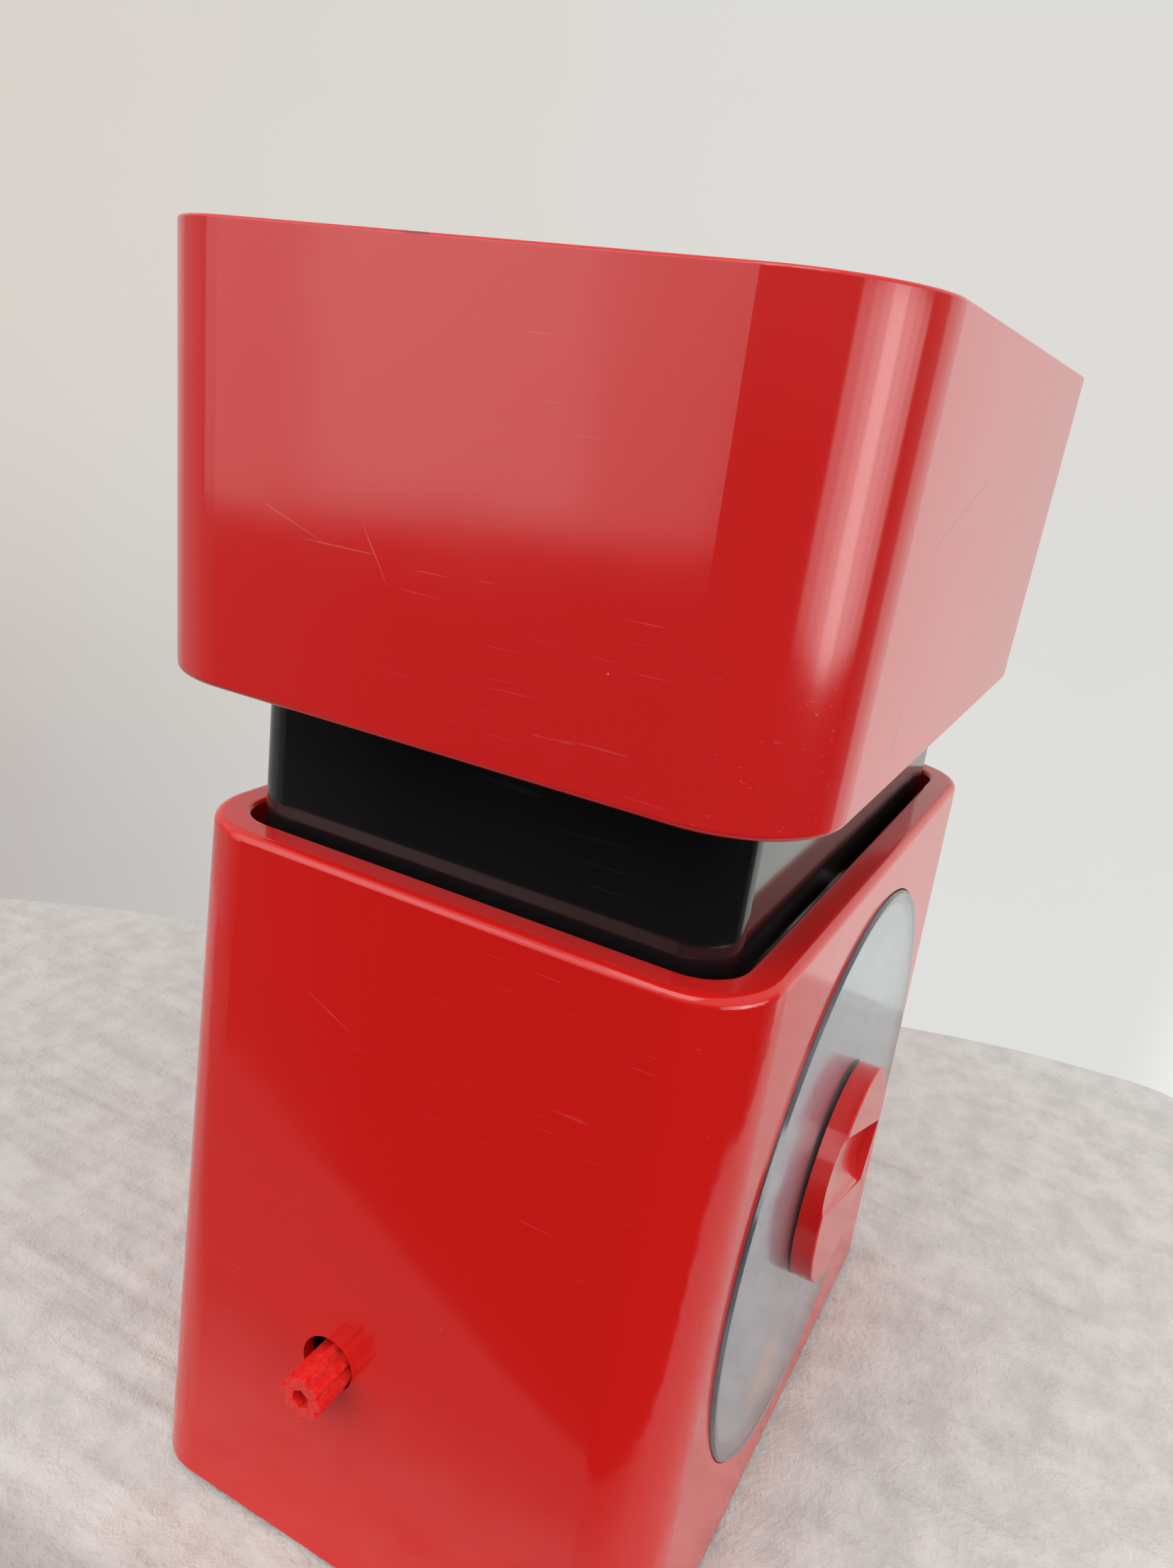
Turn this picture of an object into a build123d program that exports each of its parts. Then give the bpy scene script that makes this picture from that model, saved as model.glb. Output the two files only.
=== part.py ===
"""Mechanical kitchen scale, built as it comes apart on a bench.

A drafted red box stands on a base plate with rubber feet. A black platform rises out of its open top
and carries a lift-off tray. Under load the platform sinks on two parallel levers against two springs.
A rack on its bracket turns a pinion, and the pinion turns the dial behind the round lens. The knob in
the middle of the lens turns the dial against a friction clutch, to tare. A fluted spindle on the side
moves a nut, and the nut tips the lever that holds the springs' upper ends, to set zero.

Millimetres, +Z up. The origin is on the ground under the middle of the housing, the dial faces -Y and
the zero spindle is on the -X side. The rest pose is the unloaded scale.
"""
from build123d import *
from math import atan2, copysign, cos, degrees, hypot, pi, radians, sin, sqrt, tan
import os

# ---- Driving dimensions: outside ----------------------------------------------------------------
WIDTH = 150.0          # housing, left to right at its top
DEPTH = 104.2          # housing, front to back at its top
HEIGHT = 137.5         # housing, bottom edge to top edge
CORNER_R = 14.2        # housing, upright corners at the top
FOOT_CORNER_R = 12.0   # and at the bottom
DRAFT = (0.0282, 0.0101)   # housing, growth per side in x and y for each mm downwards
WALL = 2.6             # housing walls
LEDGE = 6.1            # top ledge, from the outer edge to the opening
TOP_EDGE_R = 1.7       # round along the housing's top outer edge
MOUTH_R = 0.9          # round along the opening's edge
FOOT_PROUD = 1.5       # feet below the housing's bottom edge

PLATFORM_GAP = 1.85    # between the opening and the platform, all round
PLATFORM_TOP = 163.3 + FOOT_PROUD
TRAVEL = 20.0          # platform, empty to full load

TRAY_LOW_HALF = (82.3, 55.95)  # tray's outside at its bottom
TRAY_LOW_R = 17.7
TRAY_TOP_HALF = (83.4, 56.95)  # and at its rim
TRAY_TOP_R = 18.5
TRAY_HEIGHT = 65.4
TRAY_WALL = 2.3
TRAY_RIM_R = 0.45      # round along the rim, outside and inside

DIAL_Z = 69.8 + FOOT_PROUD
LENS_HOLE_R = 58.9
LENS_PROUD = 0.76
KNOB_R = 22.35
KNOB_HEIGHT = 4.73     # knob's face in front of the lens
GROOVE_REACH = (-26.0, 20.0)   # finger groove's two ends, along it from the knob's axis
GROOVE_DEPTH = (0.6, 2.4)      # its depth at those ends
GROOVE_HALF = (7.6, 6.8)       # and half its width there
GROOVE_OFFSET = 2.5            # its middle line, above the knob's axis
GROOVE_TILT = -23.0            # degrees from level, seen from the front

SPINDLE_HOLE_R = 5.4
SPINDLE_HOLE_YZ = (10.9, 44.2 + FOOT_PROUD)
SPINDLE_R = 4.3
SPINDLE_OUT = 8.0      # spindle's end in front of the wall
FLUTES = 8

# ---- Driving dimensions: mechanism --------------------------------------------------------------
SHEET = 1.5            # steel sheet of the frame, levers and brackets
PIN_R = 1.5
RUN = 0.05             # radial clearance of a running fit
MODULE = 0.5           # rack and pinion
TEETH = 14
PRESSURE_ANGLE = radians(20)
BACKLASH = 0.12        # taken off each tooth's thickness at the pitch line
LEVER_SPAN = 80.0      # level distance between a lever's two pins
LEVER_Z = (104.0, 30.0)    # upper and lower lever pivots on the frame
PIVOT_X = -46.0
ZERO_PIVOT = (-30.0, 88.0)     # x and z of the zero lever's pivot
ZERO_PITCH = 1.5       # zero screw, advance of the nut per turn

# ---- Worked out ---------------------------------------------------------------------------------
BODY_LOW = FOOT_PROUD
BODY_TOP = FOOT_PROUD + HEIGHT
OPEN_HALF = (WIDTH / 2 - LEDGE, DEPTH / 2 - LEDGE)
OPEN_R = CORNER_R - LEDGE
PLATFORM_HALF = [h - PLATFORM_GAP for h in OPEN_HALF]
FOOT_HALF = (WIDTH / 2 + DRAFT[0] * HEIGHT, DEPTH / 2 + DRAFT[1] * HEIGHT)
FACE_Y = -(DEPTH / 2 + DRAFT[1] * (BODY_TOP - DIAL_Z))       # front face at the dial's centre
SIDE_X = -(WIDTH / 2 + DRAFT[0] * (BODY_TOP - SPINDLE_HOLE_YZ[1]))
PITCH_R = MODULE * TEETH / 2
CARRIER_X = PIVOT_X + LEVER_SPAN
PIN_RISE = TRAVEL / 2          # carrier pins above the frame pins at rest, and below at full load
LEVER_TILT = degrees(atan2(PIN_RISE, LEVER_SPAN))
LEVER_LONG = hypot(LEVER_SPAN, PIN_RISE)
SPINDLE_OFF = 0.7              # the spindle sits a little off the hole's centre, each way
SPINDLE_Y = SPINDLE_HOLE_YZ[0] - SPINDLE_OFF
SPINDLE_Z = SPINDLE_HOLE_YZ[1] - SPINDLE_OFF

# Layers from the middle outwards, front and back alike
BRACKET_Y = 13.5       # inside of the platform bracket's cheeks
LEVER_Y = 16.5         # inside of the lever arms
FRAME_Y = 19.5         # inside of the frame's cheeks

os.makedirs("parts", exist_ok=True)


# ---- Helpers ------------------------------------------------------------------------------------
def block(x, y, z):
    """Box between two corners, each axis given as (low, high)."""
    size = (x[1] - x[0], y[1] - y[0], z[1] - z[0])
    return Pos(x[0], y[0], z[0]) * Box(*size, align=(Align.MIN, Align.MIN, Align.MIN))


def rod_x(y, z, radius, x0, x1):
    return Pos((x0 + x1) / 2, y, z) * Rot(0, 90, 0) * Cylinder(radius, x1 - x0)


def rod_y(x, z, radius, y0, y1):
    return Pos(x, (y0 + y1) / 2, z) * Rot(90, 0, 0) * Cylinder(radius, y1 - y0)


def rod_z(x, y, radius, z0, z1):
    return Pos(x, y, (z0 + z1) / 2) * Cylinder(radius, z1 - z0)


def upright(sketch, y0, y1):
    """Plate from an outline in X and Z, between two distances along Y."""
    return extrude(Plane.XZ.offset(-y1) * sketch, y1 - y0)


def outline(*points):
    return make_face(Polyline(*points, close=True))


def inset(half, by):
    """Half sizes of an outline moved inwards."""
    return [h - by for h in half]


def part_way(low, high, share):
    """Half sizes between two outlines, or beyond them."""
    return [a + share * (b - a) for a, b in zip(low, high)]


def drafted_box(low_half, low_r, high_half, high_r, z0, z1):
    """Rounded box that changes evenly from one outline at z0 to another at z1."""
    low = Pos(0, 0, z0) * RectangleRounded(2 * low_half[0], 2 * low_half[1], low_r)
    high = Pos(0, 0, z1) * RectangleRounded(2 * high_half[0], 2 * high_half[1], high_r)
    return loft([low, high], ruled=True)


def prism(half, radius, z0, z1):
    return extrude(Pos(0, 0, z0) * RectangleRounded(2 * half[0], 2 * half[1], radius), z1 - z0)


def at_dial(shape):
    """Turn a shape modelled about +Z so that it stands on the front face, square to the wall."""
    face = Plane((0, FACE_Y, DIAL_Z), x_dir=(1, 0, 0), z_dir=(0, -1, DRAFT[1]))
    return face * shape


def mirrored(shape):
    """The shape and its copy on the other side of the middle, front to back."""
    return [shape, mirror(shape, Plane.XZ)]


def save(name, *shapes):
    solids = [s for shape in shapes for s in shape.solids()]
    made = solids[0] if len(solids) == 1 else Compound(children=solids)
    made.label = name
    export_step(made, f"parts/{name}.step")


# ---- Housing ------------------------------------------------------------------------------------
POST_XY = (66.5, 42.0)
POST_R = 4.0
POST_TOP = 30.0
PLATE_TOP = BODY_LOW + 3.0
TOP_THICK = 3.0
LIP_DEEP = 7.0
LIP_THICK = 1.8
WEB_HALF = 1.2         # half the thickness of the webs that tie a post to the walls
SCREW_R = 1.4


def four(x, y):
    return [(x, y), (x, -y), (-x, y), (-x, -y)]


def housing_shell():
    top_half = (WIDTH / 2, DEPTH / 2)
    body = drafted_box(FOOT_HALF, FOOT_CORNER_R, top_half, CORNER_R, BODY_LOW, BODY_TOP)
    body = fillet(body.faces().sort_by(Axis.Z)[-1].edges(), TOP_EDGE_R)
    under_top = part_way(FOOT_HALF, top_half, 1 - TOP_THICK / HEIGHT)
    body -= drafted_box(inset(FOOT_HALF, WALL), FOOT_CORNER_R - WALL, inset(under_top, WALL),
                        CORNER_R - WALL, BODY_LOW, BODY_TOP - TOP_THICK)
    body += prism(inset(OPEN_HALF, -LIP_THICK), OPEN_R + LIP_THICK, BODY_TOP - LIP_DEEP, BODY_TOP - 1)
    body -= prism(OPEN_HALF, OPEN_R, BODY_TOP - LIP_DEEP - 1, BODY_TOP + 1)
    mouth = body.faces().sort_by(Axis.Z)[-1].inner_wires()[0]
    body = fillet(mouth.edges(), MOUTH_R)
    in_wall = [half + draft * (BODY_TOP - POST_TOP) - 1 for half, draft in zip(top_half, DRAFT)]
    for x, y in four(*POST_XY):
        wall_x, wall_y = copysign(in_wall[0], x), copysign(in_wall[1], y)
        web_x = block(sorted((x, wall_x)), (y - WEB_HALF, y + WEB_HALF), (PLATE_TOP, POST_TOP))
        web_y = block((x - WEB_HALF, x + WEB_HALF), sorted((y, wall_y)), (PLATE_TOP, POST_TOP))
        body += rod_z(x, y, POST_R, PLATE_TOP, POST_TOP) + web_x + web_y
        body -= rod_z(x, y, SCREW_R, PLATE_TOP - 1, POST_TOP - 8)
    body -= at_dial(Cylinder(LENS_HOLE_R, 20))
    body -= rod_x(*SPINDLE_HOLE_YZ, SPINDLE_HOLE_R, SIDE_X - 5, SIDE_X + 8)
    save("housing_shell", body)


PLATE_GAP = 0.4
CLEAR_R = 1.7          # clearance hole for a screw
HEAD_HOLE_R = 3.1      # counterbore for its head
HEAD_DEEP = 1.9
FOOT_HOLE_R = 3.0
FOOT_XY = (58.0, 34.0)
FRAME_SCREWS = [(-51.0, 11.0), (-51.0, -11.0), (13.0, 14.0), (13.0, -14.0)]


def base_plate():
    edge = WALL + PLATE_GAP
    plate = prism(inset(FOOT_HALF, edge), FOOT_CORNER_R - edge, BODY_LOW, PLATE_TOP)
    for x, y in four(*FOOT_XY):
        plate -= rod_z(x, y, FOOT_HOLE_R, BODY_LOW - 1, PLATE_TOP + 1)
    for x, y in four(*POST_XY) + FRAME_SCREWS:
        plate -= rod_z(x, y, CLEAR_R, BODY_LOW - 1, PLATE_TOP + 1)
        plate -= rod_z(x, y, HEAD_HOLE_R, BODY_LOW - 1, BODY_LOW + HEAD_DEEP)
    save("base_plate", plate)


def pan_screw(x, y, tip_z):
    """Cross-headed screw driven upwards, its head let into the base plate."""
    head_z = BODY_LOW + 0.1
    under_head = BODY_LOW + HEAD_DEEP
    screw = rod_z(x, y, HEAD_HOLE_R - 0.3, head_z, under_head) + rod_z(x, y, SCREW_R, under_head, tip_z)
    for turn in (0, 90):
        screw -= Pos(x, y, head_z) * Rot(0, 0, turn) * Box(3.4, 0.7, 1.6)
    return screw


def base_fasteners():
    save("base_screws", *[pan_screw(x, y, POST_TOP - 12) for x, y in four(*POST_XY)])
    save("frame_screws", *[pan_screw(x, y, PLATE_TOP + SHEET + 2.5) for x, y in FRAME_SCREWS])


def feet():
    for side, x in (("left", -FOOT_XY[0]), ("right", FOOT_XY[0])):
        for end, y in (("front", -FOOT_XY[1]), ("rear", FOOT_XY[1])):
            pad = fillet(rod_z(x, y, 7.0, 0, FOOT_PROUD).edges().sort_by(Axis.Z)[0], 0.6)
            stem = rod_z(x, y, FOOT_HOLE_R - 0.1, FOOT_PROUD, PLATE_TOP)
            stem += rod_z(x, y, FOOT_HOLE_R + 1, PLATE_TOP, PLATE_TOP + 1.5)
            save(f"foot_{end}_{side}", pad + stem)


# ---- Lens ---------------------------------------------------------------------------------------
LENS_R = LENS_HOLE_R - 0.3
LENS_THICK = 2.0
LENS_INNER_R = LENS_R - 2.1
LENS_FLANGE_R = LENS_HOLE_R + 1.6
LENS_FLANGE = 1.5
LENS_BORE_R = 6.5


def dial_lens():
    front = LENS_PROUD
    lens = Pos(0, 0, front - LENS_THICK / 2) * Cylinder(LENS_R, LENS_THICK)
    lens = chamfer(lens.edges().sort_by(Axis.Z)[-1], 0.5)
    rim_low = -WALL - LENS_FLANGE
    rim = Pos(0, 0, (rim_low + front - 1) / 2) * Cylinder(LENS_R, front - 1 - rim_low)
    flange = Pos(0, 0, rim_low + LENS_FLANGE / 2 - 0.02) * Cylinder(LENS_FLANGE_R, LENS_FLANGE)
    cup_top = front - LENS_THICK
    cup = Pos(0, 0, (rim_low - 1 + cup_top) / 2) * Cylinder(LENS_INNER_R, cup_top - rim_low + 1)
    lens = lens + rim + flange - cup - Cylinder(LENS_BORE_R, 20)
    save("dial_lens", at_dial(lens))
    line = block((-0.2, 0.2), (-LENS_INNER_R + 0.4, -LENS_BORE_R - 12), (cup_top - 0.12, cup_top))
    save("index_line", at_dial(line))


# ---- Mechanism frame ----------------------------------------------------------------------------
FRAME_X = (-60.0, 8.0)
FRAME_TOP = 112.0
BASE_WEB_X = (-60.0, 48.0)
STOP_XY = (31.0, 0.0)
SPINDLE_BUSH_R = 4.0
BUSH_R = 3.5


def mechanism_frame():
    z0 = PLATE_TOP
    x0, x1 = FRAME_X
    cheek = outline((x0, z0), (48, z0), (48, z0 + 8), (x1, z0 + 14), (x1, 82), (-20, FRAME_TOP),
                    (x0, FRAME_TOP))
    cheek -= Pos(-47, 67) * RectangleRounded(14, 34, 3)
    cheeks = mirrored(upright(cheek, FRAME_Y, FRAME_Y + SHEET))
    frame = cheeks[0] + cheeks[1]
    frame += block(BASE_WEB_X, (-FRAME_Y, FRAME_Y), (z0, z0 + SHEET))
    frame += block((x0, x0 + SHEET), (-FRAME_Y, FRAME_Y), (z0, 60))
    for z in LEVER_Z:
        frame -= rod_y(PIVOT_X, z, PIN_R, -30, 30)
    frame -= rod_y(*ZERO_PIVOT, PIN_R, -30, 30)
    frame -= rod_y(0, DIAL_Z, BUSH_R, -30, -10)
    frame -= rod_x(SPINDLE_Y, SPINDLE_Z, SPINDLE_BUSH_R, x0 - 5, x0 + 5)
    for x, y in FRAME_SCREWS:
        frame -= rod_z(x, y, SCREW_R, z0 - 1, z0 + 5)
    for z in BRIDGE_SCREW_Z:
        frame -= rod_y(BRIDGE_SCREW_X, z, SCREW_R, -30, -10)
    save("mechanism_frame", frame)
    stop = rod_z(*STOP_XY, 6.0, z0 + SHEET, CARRIER_LOW - TRAVEL - 0.4)
    save("travel_stop", fillet(stop.edges().sort_by(Axis.Z)[-1], 1.5))


BRIDGE_Y = (-35.5, -34.0)
BRIDGE_X = (-26.0, 8.0)
BRIDGE_SCREW_X = -33.0
BRIDGE_SCREW_Z = (DIAL_Z - 5, DIAL_Z + 5)


def dial_bridge():
    """Bent strip in front of the frame that carries the pinion shaft's front bush."""
    z = (DIAL_Z - 9, DIAL_Z + 9)
    wall = -FRAME_Y - SHEET
    strip = block(BRIDGE_X, BRIDGE_Y, z)
    strip += block((BRIDGE_X[0], BRIDGE_X[0] + SHEET), (BRIDGE_Y[1], wall), z)
    strip += block((-40, BRIDGE_X[0]), (wall - SHEET, wall), z)
    strip -= rod_y(0, DIAL_Z, BUSH_R, -40, -30)
    screws = []
    for screw_z in BRIDGE_SCREW_Z:
        strip -= rod_y(BRIDGE_SCREW_X, screw_z, 1.6, -30, -10)
        head = rod_y(BRIDGE_SCREW_X, screw_z, 2.7, wall - SHEET - 1.6, wall - SHEET)
        head -= Pos(BRIDGE_SCREW_X, wall - SHEET - 1.6, screw_z) * Box(6, 1.6, 0.7)
        screws.append(head + rod_y(BRIDGE_SCREW_X, screw_z, SCREW_R, wall - SHEET, -FRAME_Y + 1.5))
    save("dial_bridge", strip)
    save("bridge_screws", *screws)


def bushes():
    bore = rod_y(0, DIAL_Z, PIN_R + RUN, -60, 0)
    front = rod_y(0, DIAL_Z, BUSH_R, -37.5, -32.6) + rod_y(0, DIAL_Z, 5, -34.0, -32.6)
    save("front_bush", front - bore)
    rear = rod_y(0, DIAL_Z, BUSH_R, -22.6, -18.6) + rod_y(0, DIAL_Z, 5, -22.6, -21.0)
    save("rear_bush", rear - bore)
    x0 = FRAME_X[0]
    sleeve = rod_x(SPINDLE_Y, SPINDLE_Z, SPINDLE_BUSH_R, x0 - 1.6, x0 + 3)
    sleeve += rod_x(SPINDLE_Y, SPINDLE_Z, 5.5, x0 - 1.6, x0)
    save("spindle_bush", sleeve - rod_x(SPINDLE_Y, SPINDLE_Z, ZERO_SCREW_R + RUN, x0 - 9, x0 + 9))


def frame_pins():
    out = FRAME_Y + SHEET
    clips = []
    places = {"upper_frame_pin": (PIVOT_X, LEVER_Z[0]), "lower_frame_pin": (PIVOT_X, LEVER_Z[1]),
              "zero_lever_pin": ZERO_PIVOT}
    for name, (x, z) in places.items():
        save(name, rod_y(x, z, PIN_R, -out, out + 1.6) + rod_y(x, z, 2.6, -out - 1, -out))
        clips.append(rod_y(x, z, 3.2, out + 0.1, out + 0.8) - rod_y(x, z, PIN_R, 0, 40)
                     - block((x - 1, x + 1), (out, out + 1), (z - 4, z)))
    save("pivot_clips", *clips)


# ---- Levers -------------------------------------------------------------------------------------
SLOT_PLAY = 0.08


def lever(name, pivot_z):
    """Pair of arms on a cross web. The far ends are slotted, because the platform moves straight."""
    swing = Plane((PIVOT_X, 0, pivot_z), x_dir=(cos(radians(LEVER_TILT)), 0, sin(radians(LEVER_TILT))),
                  z_dir=(0, -1, 0))
    arm = Pos(LEVER_LONG / 2, 0) * SlotCenterToCenter(LEVER_LONG, 10)
    arm -= Circle(PIN_R + RUN)
    reach = (LEVER_SPAN + LEVER_LONG) / 2
    slot_r = PIN_R + SLOT_PLAY
    arm -= Pos(reach, 0) * SlotCenterToCenter(LEVER_LONG - LEVER_SPAN + 0.2, 2 * slot_r)
    arms = extrude(swing.offset(LEVER_Y) * arm, SHEET) + extrude(swing.offset(-LEVER_Y) * arm, -SHEET)
    web = swing * block((9, 21), (-SHEET / 2, SHEET / 2), (-LEVER_Y, LEVER_Y))
    save(name, arms + web)


# ---- Platform and its bracket -------------------------------------------------------------------
SEAT_DEEP = 1.5
SEAT_HALF = (61.0, 36.5)
PLATFORM_THICK = 3.0
PLATFORM_SKIRT = 52.5
PLATFORM_WALL = 2.5
PLATFORM_R = 7.5
WEB_TOP = PLATFORM_TOP - SEAT_DEEP - PLATFORM_THICK
CARRIER_LOW = LEVER_Z[1] + PIN_RISE - 6
SPRING_BAR = (24.0, LEVER_Z[1] + PIN_RISE + 8)
PLATFORM_SCREWS = [(-34.0, 11.0), (-34.0, -11.0), (50.0, 11.0), (50.0, -11.0)]
RACK_BOLTS = ((22.5, 91.0), (29.5, 91.0))


def platform():
    low = PLATFORM_TOP - PLATFORM_SKIRT
    cup = prism(PLATFORM_HALF, PLATFORM_R, low, PLATFORM_TOP)
    cup -= prism(inset(PLATFORM_HALF, PLATFORM_WALL), PLATFORM_R - PLATFORM_WALL, low - 1, WEB_TOP)
    cup = fillet(cup.faces().sort_by(Axis.Z)[-1].edges(), 0.6)
    cup -= prism(SEAT_HALF, 4.0, PLATFORM_TOP - SEAT_DEEP, PLATFORM_TOP + 1)
    floor = PLATFORM_TOP - SEAT_DEEP
    screws = []
    for x, y in PLATFORM_SCREWS:
        cup -= rod_z(x, y, CLEAR_R, WEB_TOP - 1, floor + 1)
        cup -= Pos(x, y, floor - 0.9) * Cone(CLEAR_R, HEAD_HOLE_R, 1.8)
        screw = Pos(x, y, floor - 0.95) * Cone(1.5, 2.9, 1.7)
        screw += rod_z(x, y, SCREW_R, WEB_TOP - 5, floor - 0.95)
        for turn in (0, 90):
            screw -= Pos(x, y, floor - 0.1) * Rot(0, 0, turn) * Box(3.2, 0.7, 1.4)
        screws.append(screw)
    save("platform", cup)
    save("platform_screws", *screws)


def carrier_bracket():
    """Inverted U of steel sheet under the platform, closed at its foot by a tie."""
    web_z = (WEB_TOP - SHEET, WEB_TOP)
    cheek = outline((18, CARRIER_LOW), (44, CARRIER_LOW), (44, 136), (58, WEB_TOP), (-40, WEB_TOP),
                    (-40, 150), (10, 146), (18, 136))
    cheek -= Pos(CARRIER_X - 3, 76) * SlotOverall(44, 11, rotation=90)
    cheeks = mirrored(upright(cheek, BRACKET_Y, BRACKET_Y + SHEET))
    bracket = cheeks[0] + cheeks[1]
    bracket += block((-40, 58), (-BRACKET_Y, BRACKET_Y), web_z)
    bracket += block((18, 44), (-BRACKET_Y, BRACKET_Y), (CARRIER_LOW, CARRIER_LOW + SHEET))
    pins = {"upper_carrier_pin": (CARRIER_X, LEVER_Z[0] + PIN_RISE, LEVER_Y + SHEET + 0.8),
            "lower_carrier_pin": (CARRIER_X, LEVER_Z[1] + PIN_RISE, LEVER_Y + SHEET + 0.8),
            "spring_bar": (*SPRING_BAR, BRACKET_Y + SHEET + 0.6)}
    for name, (x, z, reach) in pins.items():
        bracket -= rod_y(x, z, PIN_R, -30, 30)
        save(name, rod_y(x, z, PIN_R, -reach, reach))
    for x, y in PLATFORM_SCREWS:
        bracket -= rod_z(x, y, SCREW_R, web_z[0] - 1, web_z[1] + 1)
    for x, z in RACK_BOLTS:
        bracket -= rod_y(x, z, SCREW_R, -30, 0)
    save("carrier_bracket", bracket)


# ---- Rack and pinion ----------------------------------------------------------------------------
RACK_Y = (-27.5, -25.5)
PINION_Y = (-29.0, -24.0)
ADDENDUM = 0.8 * MODULE
DEDENDUM = 1.2 * MODULE


def rack():
    """Toothed edge at the pitch line, with a tooth level with the pinion at rest."""
    pitch = pi * MODULE
    edge = PITCH_R + DEDENDUM
    half = pitch / 4 - BACKLASH / 2
    tip, root = half - ADDENDUM * tan(PRESSURE_ANGLE), half + DEDENDUM * tan(PRESSURE_ANGLE)
    count = int(TRAVEL / pitch) + 5
    low = DIAL_Z - 3 * pitch
    high = low + (count + 1) * pitch
    blade = outline((edge, low), (10, low), (10, high - 9), (33, high - 9), (33, high), (edge, high))
    for k in range(count):
        z = DIAL_Z + (k - 2) * pitch
        blade += outline((edge + 0.1, z - root), (PITCH_R - ADDENDUM, z - tip),
                         (PITCH_R - ADDENDUM, z + tip), (edge + 0.1, z + root))
    bar = upright(blade, *RACK_Y)
    spacers, bolts = [], []
    cheek = -BRACKET_Y - SHEET
    for x, z in RACK_BOLTS:
        bar -= rod_y(x, z, 1.5, -30, -20)
        spacers.append(rod_y(x, z, 2.8, RACK_Y[1], cheek) - rod_y(x, z, 1.5, -30, -10))
        head = rod_y(x, z, 2.6, RACK_Y[0] - 1.6, RACK_Y[0])
        head -= Pos(x, RACK_Y[0] - 1.6, z) * Box(6, 1.6, 0.7)
        bolts.append(head + rod_y(x, z, SCREW_R, RACK_Y[0], -BRACKET_Y + 1.0))
    save("rack", bar)
    save("rack_spacers", *spacers)
    save("rack_screws", *bolts)


def pinion():
    """Involute teeth, with a tooth space facing the rack at rest."""
    base_r = PITCH_R * cos(PRESSURE_ANGLE)
    tip_r, root_r = PITCH_R + MODULE, PITCH_R - DEDENDUM
    flank = tan(PRESSURE_ANGLE) - PRESSURE_ANGLE
    half_at_base = pi / 2 / TEETH - BACKLASH / 2 / PITCH_R + flank

    def on_flank(radius, side):
        if radius <= base_r:
            angle = half_at_base
        else:
            unroll = sqrt((radius / base_r) ** 2 - 1)
            angle = half_at_base - (unroll - atan2(unroll, 1))
        return (radius * cos(side * angle), radius * sin(side * angle))

    steps = [base_r + (tip_r - base_r) * k / 4 for k in range(5)]
    left = [on_flank(r, 1) for r in steps]
    right = [on_flank(r, -1) for r in steps]
    inner = root_r - 0.3
    sides = [Spline(*left), Spline(*right), ThreePointArc(left[-1], (tip_r, 0), right[-1])]
    roots = Polyline(left[0], on_flank(inner, 1), on_flank(inner, -1), right[0])
    tooth = make_face(Curve() + [*sides, roots])
    gear = Circle(root_r)
    for k in range(TEETH):
        gear += Rot(0, 0, (k + 0.5) * 360 / TEETH) * tooth
    gear -= Circle(PIN_R)
    save("pinion", upright(Pos(0, DIAL_Z) * gear, *PINION_Y))


# ---- Pinion shaft, clutch, dial and knob --------------------------------------------------------
DISC_Y = (FACE_Y - LENS_PROUD + LENS_THICK + 1.35, FACE_Y - LENS_PROUD + LENS_THICK + 1.95)
DISC_R = 55.4
BOSS_R = 5.5
KNOB_FRONT = FACE_Y - LENS_PROUD - KNOB_HEIGHT
KNOB_BACK = FACE_Y - LENS_PROUD - 0.4
SOCKET_DEEP = 1.4        # boss's end inside the knob


def shaft_parts():
    save("pinion_shaft", rod_y(0, DIAL_Z, PIN_R, KNOB_BACK - 0.6, -17.8))
    plate = rod_y(0, DIAL_Z, 9.0, -46.4, -45.0) + rod_y(0, DIAL_Z, 4.0, -45.0, -40.5)
    save("clutch_plate", plate - rod_y(0, DIAL_Z, PIN_R, -60, 0))
    washer = rod_y(0, DIAL_Z, 8.0, -47.1, -46.45) - rod_y(0, DIAL_Z, PIN_R + 1.2, -60, 0)
    save("friction_washer", washer)


def dial_parts():
    disc = rod_y(0, DIAL_Z, DISC_R, *DISC_Y) - rod_y(0, DIAL_Z, BOSS_R, -60, 0)
    save("dial_disc", disc)
    boss = rod_y(0, DIAL_Z, BOSS_R, KNOB_BACK - SOCKET_DEEP, DISC_Y[1])
    boss += rod_y(0, DIAL_Z, 10, DISC_Y[1], -47.2)
    save("dial_boss", boss - rod_y(0, DIAL_Z, PIN_R + RUN, KNOB_BACK - 1.0, 0))


def tare_knob():
    knob = rod_y(0, DIAL_Z, KNOB_R, KNOB_FRONT, KNOB_BACK)
    knob = fillet(knob.edges().filter_by(lambda e: e.center().Y < KNOB_BACK - 0.5), 0.35)
    ends = []
    for x, deep, half in zip(GROOVE_REACH, GROOVE_DEPTH, GROOVE_HALF):
        section = Plane((x, KNOB_FRONT, GROOVE_OFFSET), x_dir=(0, 1, 0), z_dir=(1, 0, 0))
        ends.append(section * Ellipse(deep, half))
    knob -= Pos(0, 0, DIAL_Z) * Rot(0, -GROOVE_TILT, 0) * loft(ends)
    knob -= rod_y(0, DIAL_Z, BOSS_R, KNOB_BACK - SOCKET_DEEP, KNOB_BACK + 1)
    save("tare_knob", knob)


# ---- Zero adjuster ------------------------------------------------------------------------------
ZERO_SCREW_R = 2.0
SPINDLE_END = SIDE_X - SPINDLE_OUT
SPINDLE_INNER = FRAME_X[0] - 2.0
NUT_X = (ZERO_PIVOT[0] - 7, ZERO_PIVOT[0] + 7)
NECK = 3.0


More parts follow.
